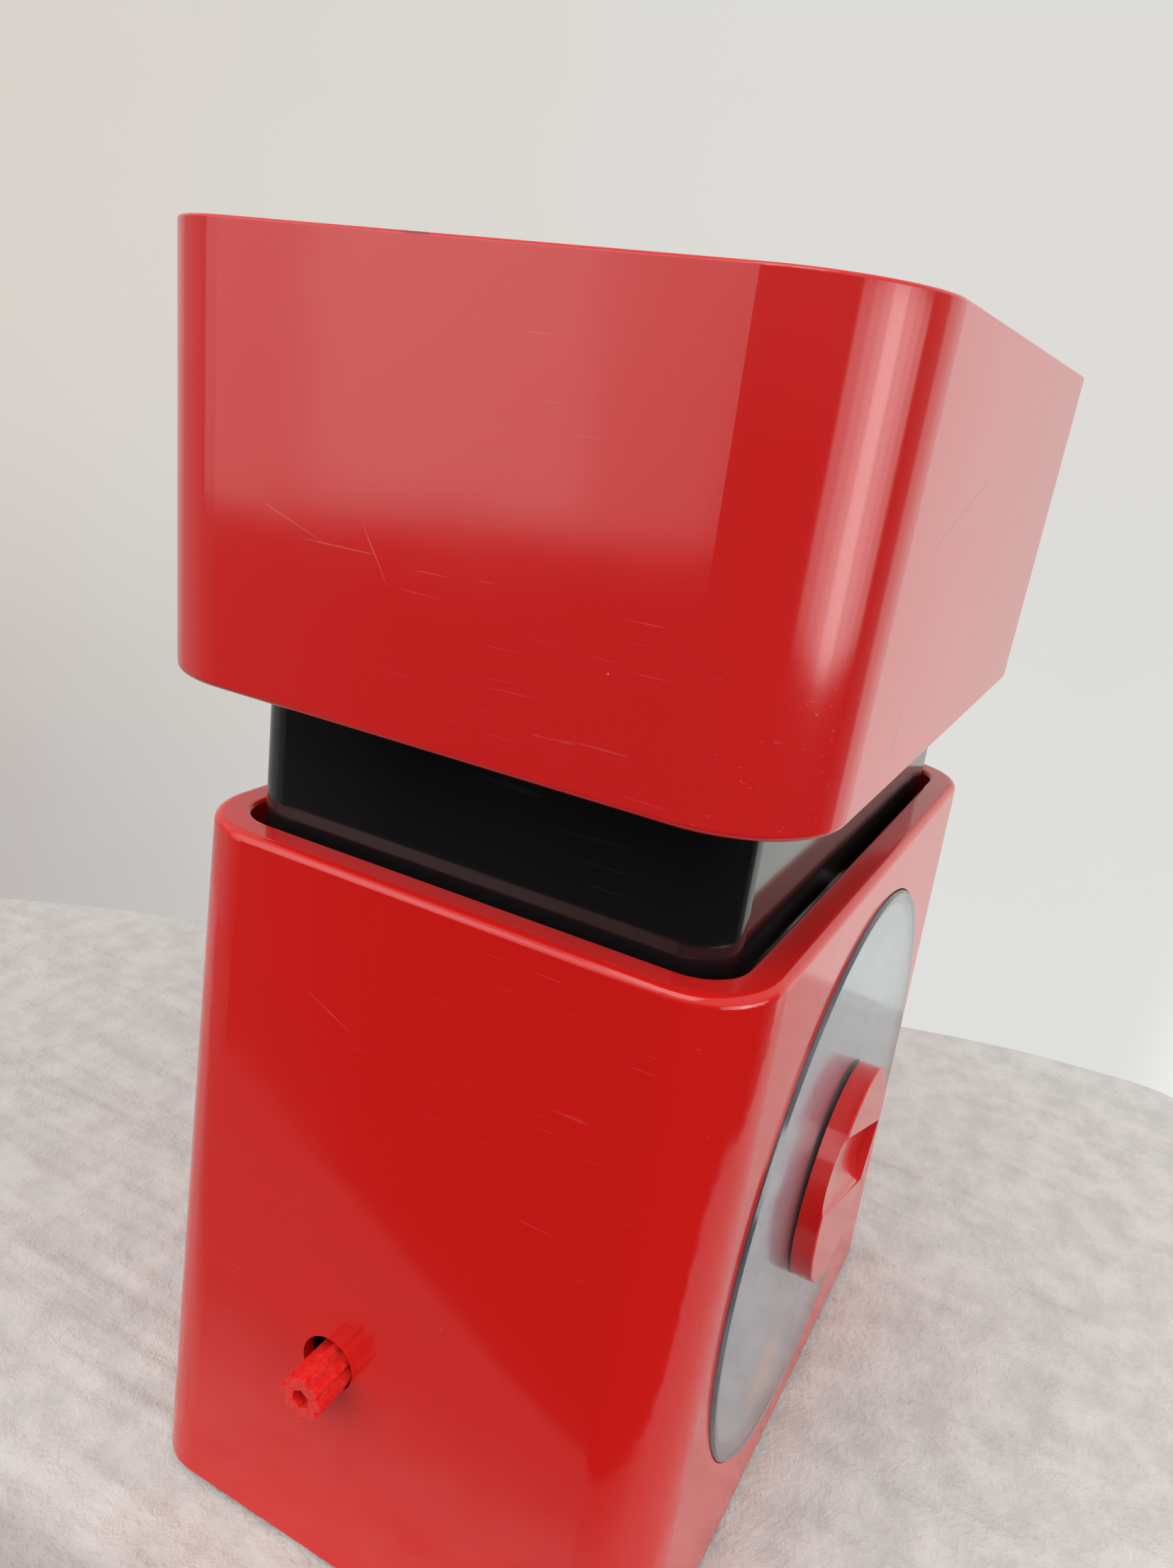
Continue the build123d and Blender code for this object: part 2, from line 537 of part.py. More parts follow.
def zero_spindle():
    """Fluted red plastic spindle with a hexagonal socket in its end, pressed on a steel screw."""
    plain_from = SPINDLE_END + 15
    spindle = rod_x(SPINDLE_Y, SPINDLE_Z, SPINDLE_R, SPINDLE_END, plain_from)
    spindle += rod_x(SPINDLE_Y, SPINDLE_Z, SPINDLE_R - 0.9, plain_from, SPINDLE_INNER)
    for k in range(FLUTES):
        a = 2 * pi * (k + 0.5) / FLUTES
        y, z = SPINDLE_Y + (SPINDLE_R + 0.25) * cos(a), SPINDLE_Z + (SPINDLE_R + 0.25) * sin(a)
        spindle -= rod_x(y, z, 1.1, SPINDLE_END - 1, plain_from - 0.5)
    socket = Plane((SPINDLE_END - 1, SPINDLE_Y, SPINDLE_Z), z_dir=(1, 0, 0)) * RegularPolygon(1.9, 6)
    spindle -= extrude(socket, 6)
    screw_from = SPINDLE_END + 9
    spindle -= rod_x(SPINDLE_Y, SPINDLE_Z, ZERO_SCREW_R, screw_from, 0)
    save("zero_spindle", spindle)
    save("zero_screw", rod_x(SPINDLE_Y, SPINDLE_Z, ZERO_SCREW_R, screw_from, -17))
    clip_x = FRAME_X[0] + 3.2
    clip = rod_x(SPINDLE_Y, SPINDLE_Z, 3.8, clip_x, clip_x + 0.8)
    save("spindle_clip", clip - rod_x(SPINDLE_Y, SPINDLE_Z, ZERO_SCREW_R, clip_x - 1, clip_x + 2))


def zero_nut():
    half = 5.0
    y, z = (SPINDLE_Y - half, SPINDLE_Y + half), (SPINDLE_Z - half, SPINDLE_Z + half)
    nut = block(NUT_X, y, z)
    gap = (ZERO_PIVOT[0] - 2.6, ZERO_PIVOT[0] + 2.6)
    neck = block(gap, (SPINDLE_Y - NECK, SPINDLE_Y + NECK), (SPINDLE_Z - NECK, SPINDLE_Z + NECK))
    nut = nut - block(gap, y, z) + neck
    save("zero_nut", nut - rod_x(SPINDLE_Y, SPINDLE_Z, ZERO_SCREW_R + RUN, -60, 0))


def zero_lever():
    """Bell crank: a fork on the nut's neck, a long arm that holds the springs."""
    px, pz = ZERO_PIVOT
    lever = rod_y(px, pz, 3.6, -12, 12)
    bar_x = SPRING_BAR[0]
    lever += block((px, bar_x + 1.7), (-11, 11), (pz - 1, pz + 1))
    lever += block((px - 1, px + 1), (4, 15.5), (SPINDLE_Z - 5, pz))
    play = NECK + 0.25
    lever -= block((px - 3, px + 3), (SPINDLE_Y - play, SPINDLE_Y + play), (SPINDLE_Z - 8, SPINDLE_Z + play))
    lever -= rod_y(px, pz, PIN_R + RUN, -20, 20)
    for y in SPRING_Y:
        lever -= rod_z(bar_x - HOOK_R - 0.1, y, 2 * WIRE_R, pz - 5, pz + 5)
    save("zero_lever", lever)


# ---- Load springs -------------------------------------------------------------------------------
SPRING_Y = (-7.0, 7.0)
SPRING_R = 4.0
WIRE_R = 0.6
HOOK_R = 2.9
TAIL_R = 0.5           # wire from the coil's end to its loop
BEAD_R = 0.8           # bend between the coil and that wire


def load_springs():
    """Extension springs with a loop at each end, round the bar below and through the zero lever above."""
    x, eye_low, eye_high = SPRING_BAR[0], SPRING_BAR[1], ZERO_PIVOT[1]
    neck = HOOK_R + 1.6
    coil = (eye_low + neck, eye_high - neck)
    turns = 9
    for name, y in zip(("load_spring_front", "load_spring_rear"), SPRING_Y):
        path = Pos(x, y, coil[0]) * Helix((coil[1] - coil[0]) / turns, coil[1] - coil[0], SPRING_R)
        spring = sweep(Plane(path @ 0, z_dir=path % 0) * Circle(WIRE_R), path)
        for eye, end in ((eye_low, coil[0]), (eye_high, coil[1])):
            near, far = sorted((end, eye + HOOK_R * (1 if end > eye else -1)))
            hook = Pos(x, y, eye) * Rot(90, 0, 0) * Torus(HOOK_R, WIRE_R)
            hook += rod_z(x, y, TAIL_R, near, far) + Pos(x, y, end) * Sphere(TAIL_R)
            hook += rod_x(y, end, TAIL_R, x, x + SPRING_R) + Pos(x + SPRING_R, y, end) * Sphere(BEAD_R)
            spring += hook
        save(name, spring)


# ---- Tray ---------------------------------------------------------------------------------------
TRAY_FLOOR = 2.6
TRAY_FOOT_R = 1.0      # round along the outside bottom edge
TRAY_INNER_R = 3.5     # and between the floor and the walls inside
PAD_CLEAR = 0.5


def tray():
    z0, z1 = PLATFORM_TOP, PLATFORM_TOP + TRAY_HEIGHT
    body = drafted_box(TRAY_LOW_HALF, TRAY_LOW_R, TRAY_TOP_HALF, TRAY_TOP_R, z0, z1)
    body = fillet(body.faces().sort_by(Axis.Z)[0].edges(), TRAY_FOOT_R)
    over = 5.0             # the hollow runs on above the rim
    low_half = part_way(TRAY_LOW_HALF, TRAY_TOP_HALF, TRAY_FLOOR / TRAY_HEIGHT)
    high_half = part_way(TRAY_LOW_HALF, TRAY_TOP_HALF, 1 + over / TRAY_HEIGHT)
    hollow = drafted_box(inset(low_half, TRAY_WALL), TRAY_LOW_R - TRAY_WALL,
                         inset(high_half, TRAY_WALL), TRAY_TOP_R - TRAY_WALL, z0 + TRAY_FLOOR, z1 + over)
    hollow = fillet(hollow.faces().sort_by(Axis.Z)[0].edges(), TRAY_INNER_R)
    body -= hollow
    rim = body.faces().sort_by(Axis.Z)[-1]
    body = fillet(rim.edges(), TRAY_RIM_R)
    body += prism(inset(SEAT_HALF, PAD_CLEAR), 3.5, z0 - SEAT_DEEP + 0.3, z0 + 1)
    save("tray", body)


housing_shell()
base_plate()
base_fasteners()
feet()
dial_lens()
mechanism_frame()
dial_bridge()
bushes()
frame_pins()
lever("upper_lever", LEVER_Z[0])
lever("lower_lever", LEVER_Z[1])
platform()
carrier_bracket()
rack()
pinion()
shaft_parts()
dial_parts()
tare_knob()
zero_spindle()
zero_nut()
zero_lever()
load_springs()
tray()
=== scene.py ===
"""Looks, light and camera for the mechanical kitchen scale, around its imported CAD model.

Metres, +Z up. The dial faces -Y and the zero spindle is on the -X side. Distances that belong to the
object come from the CAD boxes. Room directions are headings in degrees from +X towards +Y.
"""
import math

import bmesh
import bpy
from mathutils import Euler, Matrix, Vector


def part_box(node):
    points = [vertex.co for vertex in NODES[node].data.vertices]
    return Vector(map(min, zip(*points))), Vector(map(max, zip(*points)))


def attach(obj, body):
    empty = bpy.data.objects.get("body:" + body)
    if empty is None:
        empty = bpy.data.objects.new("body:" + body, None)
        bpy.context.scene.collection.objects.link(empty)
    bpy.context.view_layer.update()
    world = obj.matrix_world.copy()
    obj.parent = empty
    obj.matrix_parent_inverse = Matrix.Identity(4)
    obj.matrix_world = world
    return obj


MM = 0.001
PLASTIC_IOR = 1.5
ACRYLIC_IOR = 1.49

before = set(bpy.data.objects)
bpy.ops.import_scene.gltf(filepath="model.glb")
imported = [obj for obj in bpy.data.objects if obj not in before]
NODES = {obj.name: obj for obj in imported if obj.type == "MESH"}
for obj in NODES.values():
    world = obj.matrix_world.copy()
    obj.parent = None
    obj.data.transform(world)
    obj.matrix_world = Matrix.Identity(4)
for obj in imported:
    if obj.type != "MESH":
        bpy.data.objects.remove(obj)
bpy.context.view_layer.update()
SHELL_LOW, SHELL_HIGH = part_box("housing_shell")
TRAY_LOW, TRAY_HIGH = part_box("tray")
UNIT = SHELL_HIGH.x - SHELL_LOW.x      # width of the housing's foot, the measure for the camera
scene = bpy.context.scene
scene.view_settings.view_transform = "Standard"


# ---- Camera -------------------------------------------------------------------------------------
CAMERA_FROM_FOOT = Vector((-1.33867, -0.55251, 1.35760))    # in housing widths, from the foot's middle
CAMERA_HEADING = 25.34
CAMERA_DIP = 18.77
CAMERA_ROLL = 7.93
CAMERA_LENS = 26.92                    # millimetres, for the sensor below
SENSOR_HEIGHT = 36.0
NEAREST_SEEN = 10 * MM


def direction(heading, elevation):
    """Unit vector towards a heading and an elevation, both in degrees."""
    a, e = math.radians(heading), math.radians(elevation)
    return Vector((math.cos(e) * math.cos(a), math.cos(e) * math.sin(a), math.sin(e)))


def make_camera():
    """Hand-held close view: turned, dipped and rolled about its own axis."""
    data = bpy.data.cameras.new("camera")
    data.sensor_fit = "VERTICAL"
    data.sensor_height = SENSOR_HEIGHT
    data.lens = CAMERA_LENS
    data.clip_start = NEAREST_SEEN
    forward = direction(CAMERA_HEADING, -CAMERA_DIP)
    level_right = forward.cross(Vector((0, 0, 1))).normalized()
    level_up = level_right.cross(forward)
    roll = math.radians(CAMERA_ROLL)
    right = math.cos(roll) * level_right + math.sin(roll) * level_up
    up = right.cross(forward)
    turn = Matrix((right, up, -forward)).transposed()
    camera = bpy.data.objects.new("camera", data)
    foot = Vector((0, 0, SHELL_LOW.z))
    camera.matrix_world = Matrix.Translation(foot + UNIT * CAMERA_FROM_FOOT) @ turn.to_4x4()
    scene.collection.objects.link(camera)
    scene.camera = camera


# ---- Node helpers -------------------------------------------------------------------------------
class Graph:
    """Short ways to add and link the shader nodes of a new material or world."""

    def __init__(self, owner):
        owner.use_nodes = True
        self.owner = owner
        self.tree = owner.node_tree
        self.tree.nodes.clear()

    def node(self, kind, inputs=None, **settings):
        made = self.tree.nodes.new(kind)
        for key, value in settings.items():
            setattr(made, key, value)
        for key, value in (inputs or {}).items():
            self.feed(made.inputs[key], value)
        return made

    def feed(self, socket, value):
        """Link a socket to another one, or give it a value."""
        if isinstance(value, bpy.types.NodeSocket):
            self.tree.links.new(value, socket)
        elif isinstance(value, (tuple, list)) and socket.type == "RGBA":
            socket.default_value = (*value[:3], 1.0)
        else:
            socket.default_value = value

    def math(self, operation, *values, clamp=False):
        made = self.node("ShaderNodeMath", operation=operation, use_clamp=clamp)
        for socket, value in zip(made.inputs, values):
            self.feed(socket, value)
        return made.outputs[0]

    def vector_math(self, operation, inputs):
        """A vector calculation. The inputs are given by their numbers."""
        return self.node("ShaderNodeVectorMath", inputs, operation=operation)

    def step(self, value, low, high, out_low=0.0, out_high=1.0, shape="SMOOTHSTEP"):
        """Change from out_low to out_high as value goes from low to high, level outside."""
        made = self.node("ShaderNodeMapRange", {"Value": value, "From Min": low, "From Max": high,
                                                "To Min": out_low, "To Max": out_high},
                         interpolation_type=shape)
        return made.outputs["Result"]

    def mix(self, share, a, b, blend="MIX"):
        """Colour a, with a share of colour b."""
        made = self.node("ShaderNodeMix", data_type="RGBA", blend_type=blend)
        self.feed(made.inputs["Factor"], share)
        self.feed(made.inputs["A"], a)
        self.feed(made.inputs["B"], b)
        return made.outputs["Result"]

    def place(self):
        """Position in the piece's own space, in metres, so that a look moves with its piece."""
        return self.node("ShaderNodeTexCoord").outputs["Object"]

    def split(self, place):
        """Outputs X, Y and Z of a position."""
        return self.node("ShaderNodeSeparateXYZ", {"Vector": place}).outputs

    def stretch(self, place, scale, turn=(0, 0, 0)):
        made = self.node("ShaderNodeMapping", {"Vector": place, "Scale": scale, "Rotation": turn})
        return made.outputs["Vector"]

    def noise(self, place, scale, detail=2.0, roughness=0.5):
        made = self.node("ShaderNodeTexNoise", {"Vector": place, "Scale": scale, "Detail": detail,
                                                "Roughness": roughness})
        return made.outputs["Fac"]

    def bump(self, height, strength, distance, normal=None):
        inputs = {"Height": height, "Strength": strength, "Distance": distance}
        if normal is not None:
            inputs["Normal"] = normal
        return self.node("ShaderNodeBump", inputs).outputs["Normal"]

    def principled(self, **inputs):
        """Principled shader. A keyword is an input's name, with _ for a space."""
        named = {key.replace("_", " "): value for key, value in inputs.items()}
        return self.node("ShaderNodeBsdfPrincipled", named).outputs["BSDF"]

    def finish(self, shader, output="ShaderNodeOutputMaterial"):
        self.node(output, {"Surface": shader})
        return self.owner


def new_material(name):
    """Graph of an empty material, and its position socket."""
    g = Graph(bpy.data.materials.new(name))
    return g, g.place()


def dress(material, *names):
    """Give CAD nodes a material."""
    for name in names:
        slots = NODES[name].data.materials
        slots.clear()
        slots.append(material)


# ---- Wear ---------------------------------------------------------------------------------------
SIDE_LIMIT = -40 * MM                  # a scratch shows only further out than this, on its own side
SCRATCH_WANDER = 3                     # how strongly noise bends a scratch, in its own widths
SCRATCH_BLUNT = 0.35                   # what is left of a scratch's width at its ends


def dust(g, place, scale, share, size):
    """Mask of small specks: round dots in a share of the cells."""
    near = g.node("ShaderNodeTexVoronoi", {"Vector": place, "Scale": scale})
    pick = g.node("ShaderNodeSeparateColor", {"Color": near.outputs["Color"]})
    chosen = g.math("LESS_THAN", pick.outputs["Red"], share)
    dot_size = g.math("MULTIPLY", pick.outputs["Green"], size)
    dot = g.math("LESS_THAN", near.outputs["Distance"], dot_size)
    return g.math("MULTIPLY", chosen, dot)


def hairlines(g, place, turn, scale, cut):
    """Mask of fine straight rubbing marks, long one way and thin the other, in patches."""
    long_way = scale * 0.035
    lines = g.noise(g.stretch(place, (scale, long_way, scale), turn), scale=1.0, roughness=0.6)
    patches = g.noise(place, scale=22.0)
    thin = g.step(lines, cut, cut + 0.03)
    return g.math("MULTIPLY", thin, g.step(patches, 0.5, 0.62))


def scratch(g, place, side, start, end, width):
    """Mask of one scratch on the -X or the -Y side, worn thin at its ends.

    The ends are given as (position along the side, height), in metres.
    """
    parts = g.split(place)
    across, along_side = ("X", "Y") if side == "-X" else ("Y", "X")
    near_side = g.math("LESS_THAN", parts[across], SIDE_LIMIT)
    flat = g.node("ShaderNodeCombineXYZ", {"X": parts[along_side], "Y": parts["Z"]}).outputs["Vector"]
    start, end = Vector((*start, 0)), Vector((*end, 0))
    along = end - start
    offset = g.vector_math("SUBTRACT", {0: flat, 1: tuple(start)}).outputs["Vector"]
    share = g.vector_math("DOT_PRODUCT", {0: offset, 1: tuple(along / along.length_squared)}).outputs["Value"]
    share = g.math("MULTIPLY", share, 1.0, clamp=True)
    foot = g.vector_math("SCALE", {0: tuple(along), 3: share}).outputs["Vector"]
    gap = g.vector_math("DISTANCE", {0: offset, 1: foot}).outputs["Value"]
    wander = g.math("SUBTRACT", g.noise(flat, scale=160.0), 0.5)
    gap = g.math("ADD", gap, g.math("MULTIPLY", wander, SCRATCH_WANDER * width))
    taper = g.math("MULTIPLY", share, g.math("SUBTRACT", 1.0, share))
    taper = g.math("MULTIPLY", taper, 4.0)      # 0 at the ends and 1 in the middle
    reach = g.math("MULTIPLY", g.math("ADD", taper, SCRATCH_BLUNT), width)
    return g.math("MULTIPLY", g.math("LESS_THAN", g.math("ABSOLUTE", gap), reach), near_side)


def strongest(g, masks):
    """Mask that is as strong everywhere as the strongest of some masks there."""
    total = masks[0]
    for mask in masks[1:]:
        total = g.math("MAXIMUM", total, mask)
    return total


def faded(g, mask, strength):
    """Mask made weaker by a factor."""
    return g.math("MULTIPLY", mask, strength)


# ---- Plastics -----------------------------------------------------------------------------------
RED = (0.600, 0.0105, 0.0085)
WORN_RED = (0.600, 0.0165, 0.0155)     # the tray's, a little paler from use
PALE_MARK = (0.78, 0.42, 0.38)
DARK_MARK = (0.10, 0.004, 0.004)


def moulded_red(name, pale_marks, dark_marks, rubbed, red=RED):
    """Glossy moulded ABS: slight ripple, hazy patches, rubbing marks, scratches and dust."""
    g, place = new_material(name)
    tone = g.noise(place, scale=9.0, detail=3.0, roughness=0.55)
    base = g.mix(g.step(tone, 0.3, 0.7, 0.0, 0.35), red, tuple(0.88 * c for c in red))
    haze = g.noise(place, scale=38.0, detail=4.0, roughness=0.6)
    hair = strongest(g, [hairlines(g, place, turn=(0.6, 0.1, 0.4), scale=1500.0, cut=0.70),
                         hairlines(g, place, turn=(-0.9, 0.5, 0.2), scale=1700.0, cut=0.71)])
    hair = faded(g, hair, rubbed)
    specks = strongest(g, [dust(g, place, scale=230.0, share=0.030, size=0.040),
                           dust(g, place, scale=480.0, share=0.012, size=0.060)])
    scratches = [faded(g, scratch(g, place, *mark), 0.13) for mark in pale_marks]
    pale = strongest(g, [faded(g, hair, 0.10), faded(g, specks, 0.50)] + scratches)
    colour = g.mix(pale, base, PALE_MARK)
    if dark_marks:
        gouges = strongest(g, [scratch(g, place, *mark) for mark in dark_marks])
        colour = g.mix(faded(g, gouges, 0.5), colour, DARK_MARK)
    roughness = g.math("ADD", g.step(haze, 0.35, 0.75, 0.100, 0.135), faded(g, pale, 0.5))
    ripple = g.noise(place, scale=55.0, detail=1.0)
    grain = g.noise(place, scale=1500.0)
    normal = g.bump(ripple, strength=0.10, distance=0.4 * MM)
    normal = g.bump(grain, strength=0.035, distance=0.04 * MM, normal=normal)
    normal = g.bump(hair, strength=0.10, distance=0.02 * MM, normal=normal)
    return g.finish(g.principled(Base_Color=colour, Roughness=roughness, IOR=PLASTIC_IOR, Normal=normal))


def moulded_black():
    """Glossy black ABS with a faint blue cast, dust and rubbing marks."""
    g, place = new_material("moulded_black")
    specks = dust(g, place, scale=300.0, share=0.12, size=0.05)
    hair = hairlines(g, place, turn=(1.2, 0.1, 0.3), scale=900.0, cut=0.66)
    pale = strongest(g, [faded(g, specks, 0.16), faded(g, hair, 0.015)])
    colour = g.mix(pale, (0.0070, 0.0070, 0.0080), (0.45, 0.46, 0.48))
    haze = g.noise(place, scale=30.0, detail=3.0)
    roughness = g.math("ADD", g.step(haze, 0.3, 0.7, 0.08, 0.14), faded(g, pale, 0.4))
    normal = g.bump(g.noise(place, scale=50.0, detail=1.0), strength=0.12, distance=0.4 * MM)
    return g.finish(g.principled(Base_Color=colour, Roughness=roughness, IOR=PLASTIC_IOR, Normal=normal))


def spindle_red():
    """Softer, slightly see-through red plastic, rough where it was cut."""
    g, place = new_material("spindle_red")
    ragged = g.noise(place, scale=900.0, detail=4.0, roughness=0.7)
    colour = g.mix(g.step(ragged, 0.4, 0.75), (0.70, 0.012, 0.010), (0.80, 0.045, 0.035))
    roughness = g.step(ragged, 0.3, 0.7, 0.22, 0.42)
    normal = g.bump(ragged, strength=0.5, distance=0.4 * MM)
    return g.finish(g.principled(Base_Color=colour, Roughness=roughness, IOR=PLASTIC_IOR, Normal=normal,
                                 Subsurface_Weight=0.35, Subsurface_Radius=(0.004, 0.0006, 0.0004),
                                 Subsurface_Scale=1.0))


def textured_base():
    """Dark base plate with a fine spark-eroded texture."""
    g, place = new_material("textured_base")
    grain = g.noise(place, scale=1400.0, detail=3.0, roughness=0.7)
    colour = g.mix(g.step(grain, 0.3, 0.7), (0.024, 0.024, 0.026), (0.036, 0.036, 0.038))
    normal = g.bump(grain, strength=0.6, distance=0.12 * MM)
    return g.finish(g.principled(Base_Color=colour, Roughness=0.55, IOR=PLASTIC_IOR, Normal=normal))


def soft_rubber():
    """Matt black rubber with a grey bloom."""
    g, place = new_material("soft_rubber")
    bloom = g.noise(place, scale=240.0, detail=4.0, roughness=0.65)
    colour = g.mix(g.step(bloom, 0.35, 0.75), (0.018, 0.018, 0.018), (0.055, 0.052, 0.05))
    normal = g.bump(g.noise(place, scale=1800.0), strength=0.5, distance=0.1 * MM)
    return g.finish(g.principled(Base_Color=colour, Roughness=0.8, IOR=PLASTIC_IOR, Normal=normal))


def white_acetal():
    """Waxy white plastic of the part that carries the dial."""
    g, place = new_material("white_acetal")
    cloud = g.noise(place, scale=120.0, detail=3.0)
    colour = g.mix(g.step(cloud, 0.3, 0.7), (0.74, 0.74, 0.70), (0.82, 0.82, 0.79))
    normal = g.bump(g.noise(place, scale=900.0), strength=0.25, distance=0.05 * MM)
    return g.finish(g.principled(Base_Color=colour, Roughness=0.38, IOR=1.48, Normal=normal,
                                 Subsurface_Weight=0.1, Subsurface_Radius=(0.001, 0.001, 0.001),
                                 Subsurface_Scale=1.0))


def clear_lens():
    """Polished clear plastic that lets lamps through to the dial, hazed by fine scratches and dust."""
    g, place = new_material("clear_lens")
    haze = g.noise(place, scale=45.0, detail=4.0, roughness=0.6)
    hair = hairlines(g, place, turn=(0.2, 0.8, 0.5), scale=1000.0, cut=0.66)
    specks = dust(g, place, scale=420.0, share=0.10, size=0.06)
    milky = g.math("ADD", g.step(haze, 0.3, 0.8, 0.015, 0.05), faded(g, hair, 0.10))
    milky = g.math("ADD", milky, faded(g, specks, 0.35), clamp=True)
    roughness = g.math("ADD", g.step(haze, 0.3, 0.7, 0.09, 0.15), faded(g, hair, 0.1))
    glass = g.principled(Base_Color=(0.86, 0.91, 0.98), Roughness=roughness, IOR=ACRYLIC_IOR,
                         Transmission_Weight=1.0)
    film = g.principled(Base_Color=(0.50, 0.54, 0.60), Roughness=0.45, IOR=ACRYLIC_IOR)
    seen = g.node("ShaderNodeMixShader", {0: milky, 1: glass, 2: film}).outputs[0]
    lets_light = g.node("ShaderNodeBsdfTransparent", {"Color": (0.90, 0.93, 0.95)}).outputs[0]
    shadow = g.node("ShaderNodeLightPath").outputs["Is Shadow Ray"]
    return g.finish(g.node("ShaderNodeMixShader", {0: shadow, 1: seen, 2: lets_light}).outputs[0])


# ---- Dial card and ink --------------------------------------------------------------------------
def printed_dial():
    """Pale grey printed card with a slight mottling."""
    g, place = new_material("printed_dial")
    mottle = g.noise(place, scale=260.0, detail=4.0, roughness=0.65)
    cloud = g.noise(place, scale=18.0)
    colour = g.mix(g.step(mottle, 0.3, 0.7, 0.0, 0.6), (0.37, 0.385, 0.385), (0.33, 0.345, 0.35))
    colour = g.mix(g.step(cloud, 0.3, 0.7, 0.0, 0.25), colour, (0.40, 0.40, 0.39))
    normal = g.bump(mottle, strength=0.2, distance=0.04 * MM)
    return g.finish(g.principled(Base_Color=colour, Roughness=0.42, IOR=PLASTIC_IOR, Normal=normal))


def ink(name, colour):
    """Printed ink, a little uneven in how well it covers."""
    g, place = new_material(name)
    cover = g.noise(place, scale=700.0, detail=3.0, roughness=0.7)
    thin = tuple(min(1.0, 1.35 * c + 0.02) for c in colour)
    mixed = g.mix(g.step(cover, 0.45, 0.8, 0.0, 0.7), colour, thin)
    normal = g.bump(cover, strength=0.15, distance=0.02 * MM)
    return g.finish(g.principled(Base_Color=mixed, Roughness=0.4, IOR=PLASTIC_IOR, Normal=normal))


# ---- Metals -------------------------------------------------------------------------------------
def metal(name, bright, dull, roughness, grain_scale, patina=0.4):
    """Drawn, rolled or turned metal: long grain, dull patches and small pits."""
    g, place = new_material(name)
    drawn = g.stretch(place, (grain_scale, grain_scale, grain_scale * 0.04))
    grain = g.noise(drawn, scale=1.0, detail=3.0, roughness=0.6)
    patches = g.noise(place, scale=130.0, detail=4.0, roughness=0.65)
    pits = dust(g, place, scale=900.0, share=0.15, size=0.12)
    colour = g.mix(g.step(patches, 0.4, 0.75, 0.0, patina), bright, dull)
    colour = g.mix(faded(g, pits, 0.5), colour, dull)
    rough = g.math("ADD", g.step(grain, 0.25, 0.75, roughness * 0.8, roughness * 1.25),
                   g.step(patches, 0.45, 0.8, 0.0, 0.14))
    normal = g.bump(grain, strength=0.12, distance=0.05 * MM)
    return g.finish(g.principled(Base_Color=colour, Metallic=1.0, Roughness=rough, Normal=normal))


# ---- Which node gets what -----------------------------------------------------------------------
def below_rim(along, depth):
    """Point on the tray's side, some millimetres along it and below its rim."""
    return (along * MM, TRAY_HIGH.z - depth * MM)


def dress_plastics():
    tray_scuffs = [("-X", below_rim(30, 36), below_rim(18, 40), 0.08 * MM),
                   ("-X", below_rim(22, 40), below_rim(10, 40), 0.07 * MM),
                   ("-X", below_rim(12, 36), below_rim(7, 44), 0.06 * MM)]
    tray_gouges = [("-Y", below_rim(-52, 30), below_rim(-12, 18), 0.20 * MM),
                   ("-Y", below_rim(-30, 33), below_rim(-6, 21), 0.14 * MM),
                   ("-Y", below_rim(-46, 52), below_rim(-45, 61), 0.35 * MM),
                   ("-X", below_rim(8.5, 0.1), below_rim(4.5, 0.2), 0.22 * MM)]
    body_scuffs = [("-X", (22 * MM, 116 * MM), (13 * MM, 112 * MM), 0.07 * MM)]
    dress(moulded_red("moulded_red_tray", tray_scuffs, tray_gouges, rubbed=1.0, red=WORN_RED), "tray")
    dress(moulded_red("moulded_red_body", body_scuffs, [], rubbed=0.55), "housing_shell")
    dress(moulded_red("moulded_red_knob", [], [], rubbed=0.5), "tare_knob")
    dress(moulded_black(), "platform")
    dress(spindle_red(), "zero_spindle")
    dress(textured_base(), "base_plate")
    dress(soft_rubber(), "foot_front_left", "foot_front_right", "foot_rear_left", "foot_rear_right",
          "travel_stop")
    dress(clear_lens(), "dial_lens")
    dress(ink("index_ink", (0.022, 0.022, 0.026)), "index_line")
    dress(printed_dial(), "dial_disc")
    dress(white_acetal(), "dial_boss")


def dress_metals():
    sheet = metal("zinc_sheet", bright=(0.60, 0.61, 0.62), dull=(0.40, 0.40, 0.38), roughness=0.34,
                  grain_scale=900.0)
    steel = metal("turned_steel", bright=(0.66, 0.66, 0.66), dull=(0.42, 0.41, 0.39), roughness=0.22,
                  grain_scale=1500.0, patina=0.25)
    wire = metal("spring_wire", bright=(0.36, 0.37, 0.39), dull=(0.20, 0.19, 0.18), roughness=0.28,
                 grain_scale=2000.0)
    brass = metal("turned_brass", bright=(0.74, 0.56, 0.27), dull=(0.46, 0.33, 0.15), roughness=0.26,
                  grain_scale=1200.0)
    aluminium = metal("turned_aluminium", bright=(0.76, 0.77, 0.78), dull=(0.55, 0.55, 0.55),
                      roughness=0.3, grain_scale=1500.0)
    dress(sheet, "mechanism_frame", "dial_bridge", "carrier_bracket", "upper_lever", "lower_lever",
          "zero_lever")
    dress(steel, "base_screws", "frame_screws", "bridge_screws", "platform_screws", "rack_screws",
          "pinion_shaft", "upper_frame_pin", "lower_frame_pin", "zero_lever_pin", "upper_carrier_pin",
          "lower_carrier_pin", "spring_bar", "zero_screw")
    dress(wire, "load_spring_front", "load_spring_rear", "friction_washer", "pivot_clips", "spindle_clip")
    dress(brass, "front_bush", "rear_bush", "spindle_bush", "pinion", "rack", "clutch_plate", "zero_nut")
    dress(aluminium, "rack_spacers")


